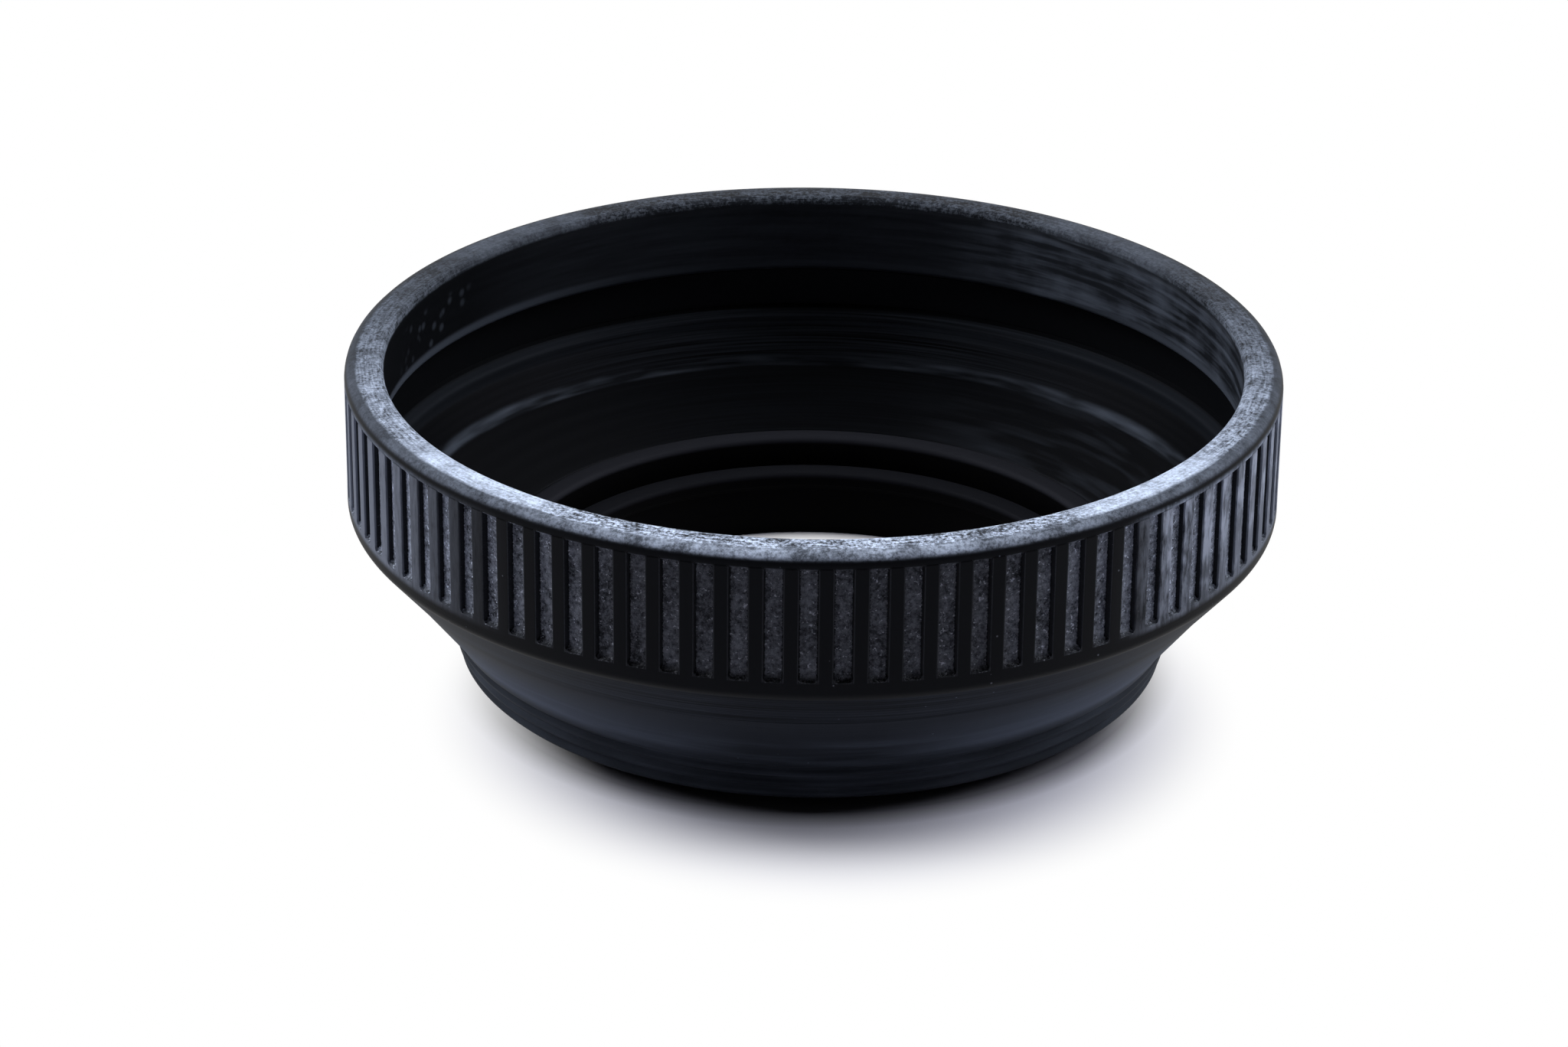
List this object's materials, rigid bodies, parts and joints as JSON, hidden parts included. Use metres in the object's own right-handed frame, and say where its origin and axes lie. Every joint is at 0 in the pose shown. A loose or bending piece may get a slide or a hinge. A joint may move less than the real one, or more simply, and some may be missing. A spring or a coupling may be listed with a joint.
{
  "type": "collapsible rubber lens hood",
  "caption": "Fold-back rubber lens hood with a ribbed wide collar, a thin folding web, a beaded base and a screw-in black metal mount ring.",
  "frame": {"origin": "centre of the thread's end face, on the hood's axis", "axes": "+Z along the axis from the mount thread towards the wide mouth"},
  "size_m": [0.076, 0.076, 0.0269],
  "materials": {
    "weathered_rubber": "moulded black rubber with a chalky grey bloom on the rim and in the grooves",
    "flexed_rubber": "thin smooth black rubber with dust in the fold",
    "smooth_rubber": "smooth satin black rubber",
    "black_anodised": "turned and black anodised",
    "black_enamel": "satin black enamel"
  },
  "bodies": {
    "base": {"rubber_base": "smooth_rubber", "mount_ring": "black_anodised", "retaining_ring": "black_enamel", "fold_web": "flexed_rubber"},
    "collar": {"front_collar": "weathered_rubber"}
  },
  "joints": [
    {"name": "collar_fold", "type": "slide", "parent": "base", "child": "collar", "axis": [0, 0, 1], "range_m": [-0.007, 0], "deforming": ["fold_web"]}
  ]
}
